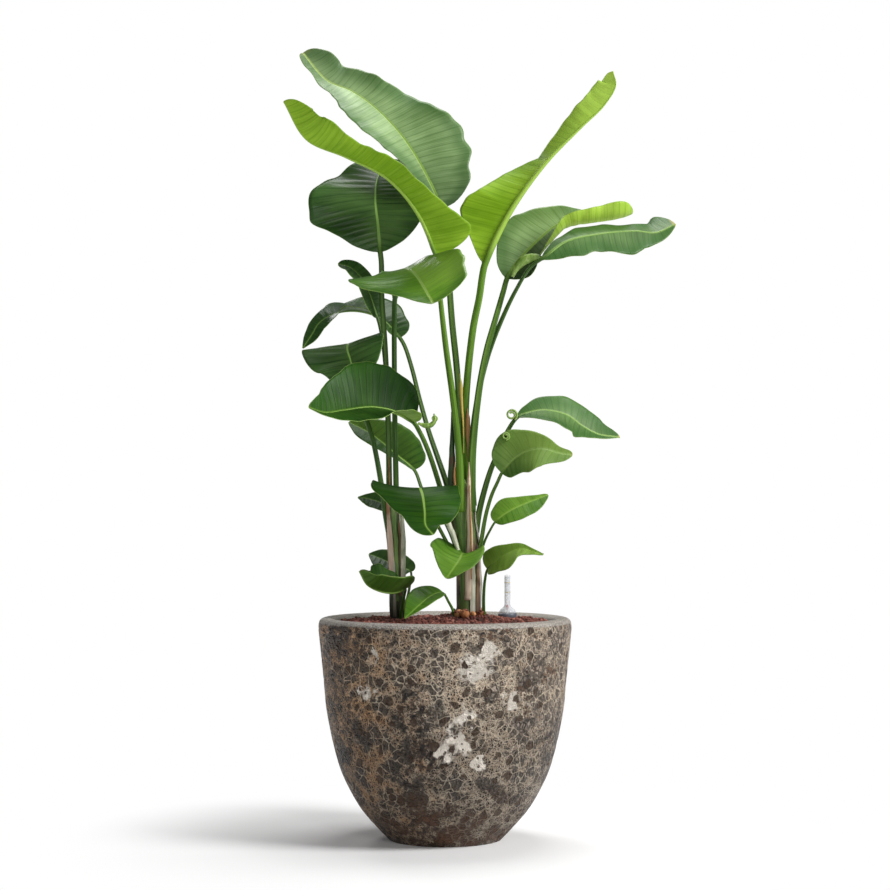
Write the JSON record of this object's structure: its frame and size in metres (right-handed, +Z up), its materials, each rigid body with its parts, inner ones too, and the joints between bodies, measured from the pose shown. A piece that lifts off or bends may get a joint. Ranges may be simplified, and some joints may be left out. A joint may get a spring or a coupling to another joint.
{
  "type": "potted plant",
  "caption": "Bird of paradise plant with large paddle leaves on long stems, growing in a round planter filled with clay granules, with a water level gauge.",
  "frame": {"origin": "centre of the planter's foot, on the ground", "axes": "+Z up, +X to the right of the picture's view, +Y away from its viewer"},
  "size_m": [0.6706, 0.431, 1.3833],
  "materials": {
    "glaze": "rough crater glaze",
    "granules": "matte",
    "sheath": "satin",
    "leaf": "waxy",
    "housing": "matte",
    "window": "clear",
    "float": "matte",
    "marker": "matte"
  },
  "bodies": {
    "planter": {"pot": "glaze", "substrate": "granules", "crown_right": "sheath", "crown_left": "sheath", "leaf_right_01": "leaf", "leaf_right_02": "leaf", "leaf_right_03": "leaf", "leaf_right_04": "leaf", "leaf_right_05": "leaf", "leaf_right_06": "leaf", "leaf_right_07": "leaf", "leaf_right_08": "leaf", "leaf_right_09": "leaf", "leaf_right_10": "leaf", "leaf_right_11": "leaf", "leaf_right_12": "leaf", "leaf_right_13": "leaf", "leaf_right_14": "leaf", "leaf_right_15": "leaf", "leaf_left_01": "leaf", "leaf_left_02": "leaf", "leaf_left_03": "leaf", "leaf_left_04": "leaf", "leaf_left_05": "leaf", "leaf_left_06": "leaf", "leaf_left_07": "leaf", "gauge_housing": "housing", "gauge_window": "window"},
    "float": {"gauge_float": "float", "float_marker": "marker"}
  },
  "joints": [
    {"name": "float_rise", "type": "slide", "parent": "planter", "child": "float", "axis": [0, 0, 1], "range_m": [0, 0.04]}
  ]
}
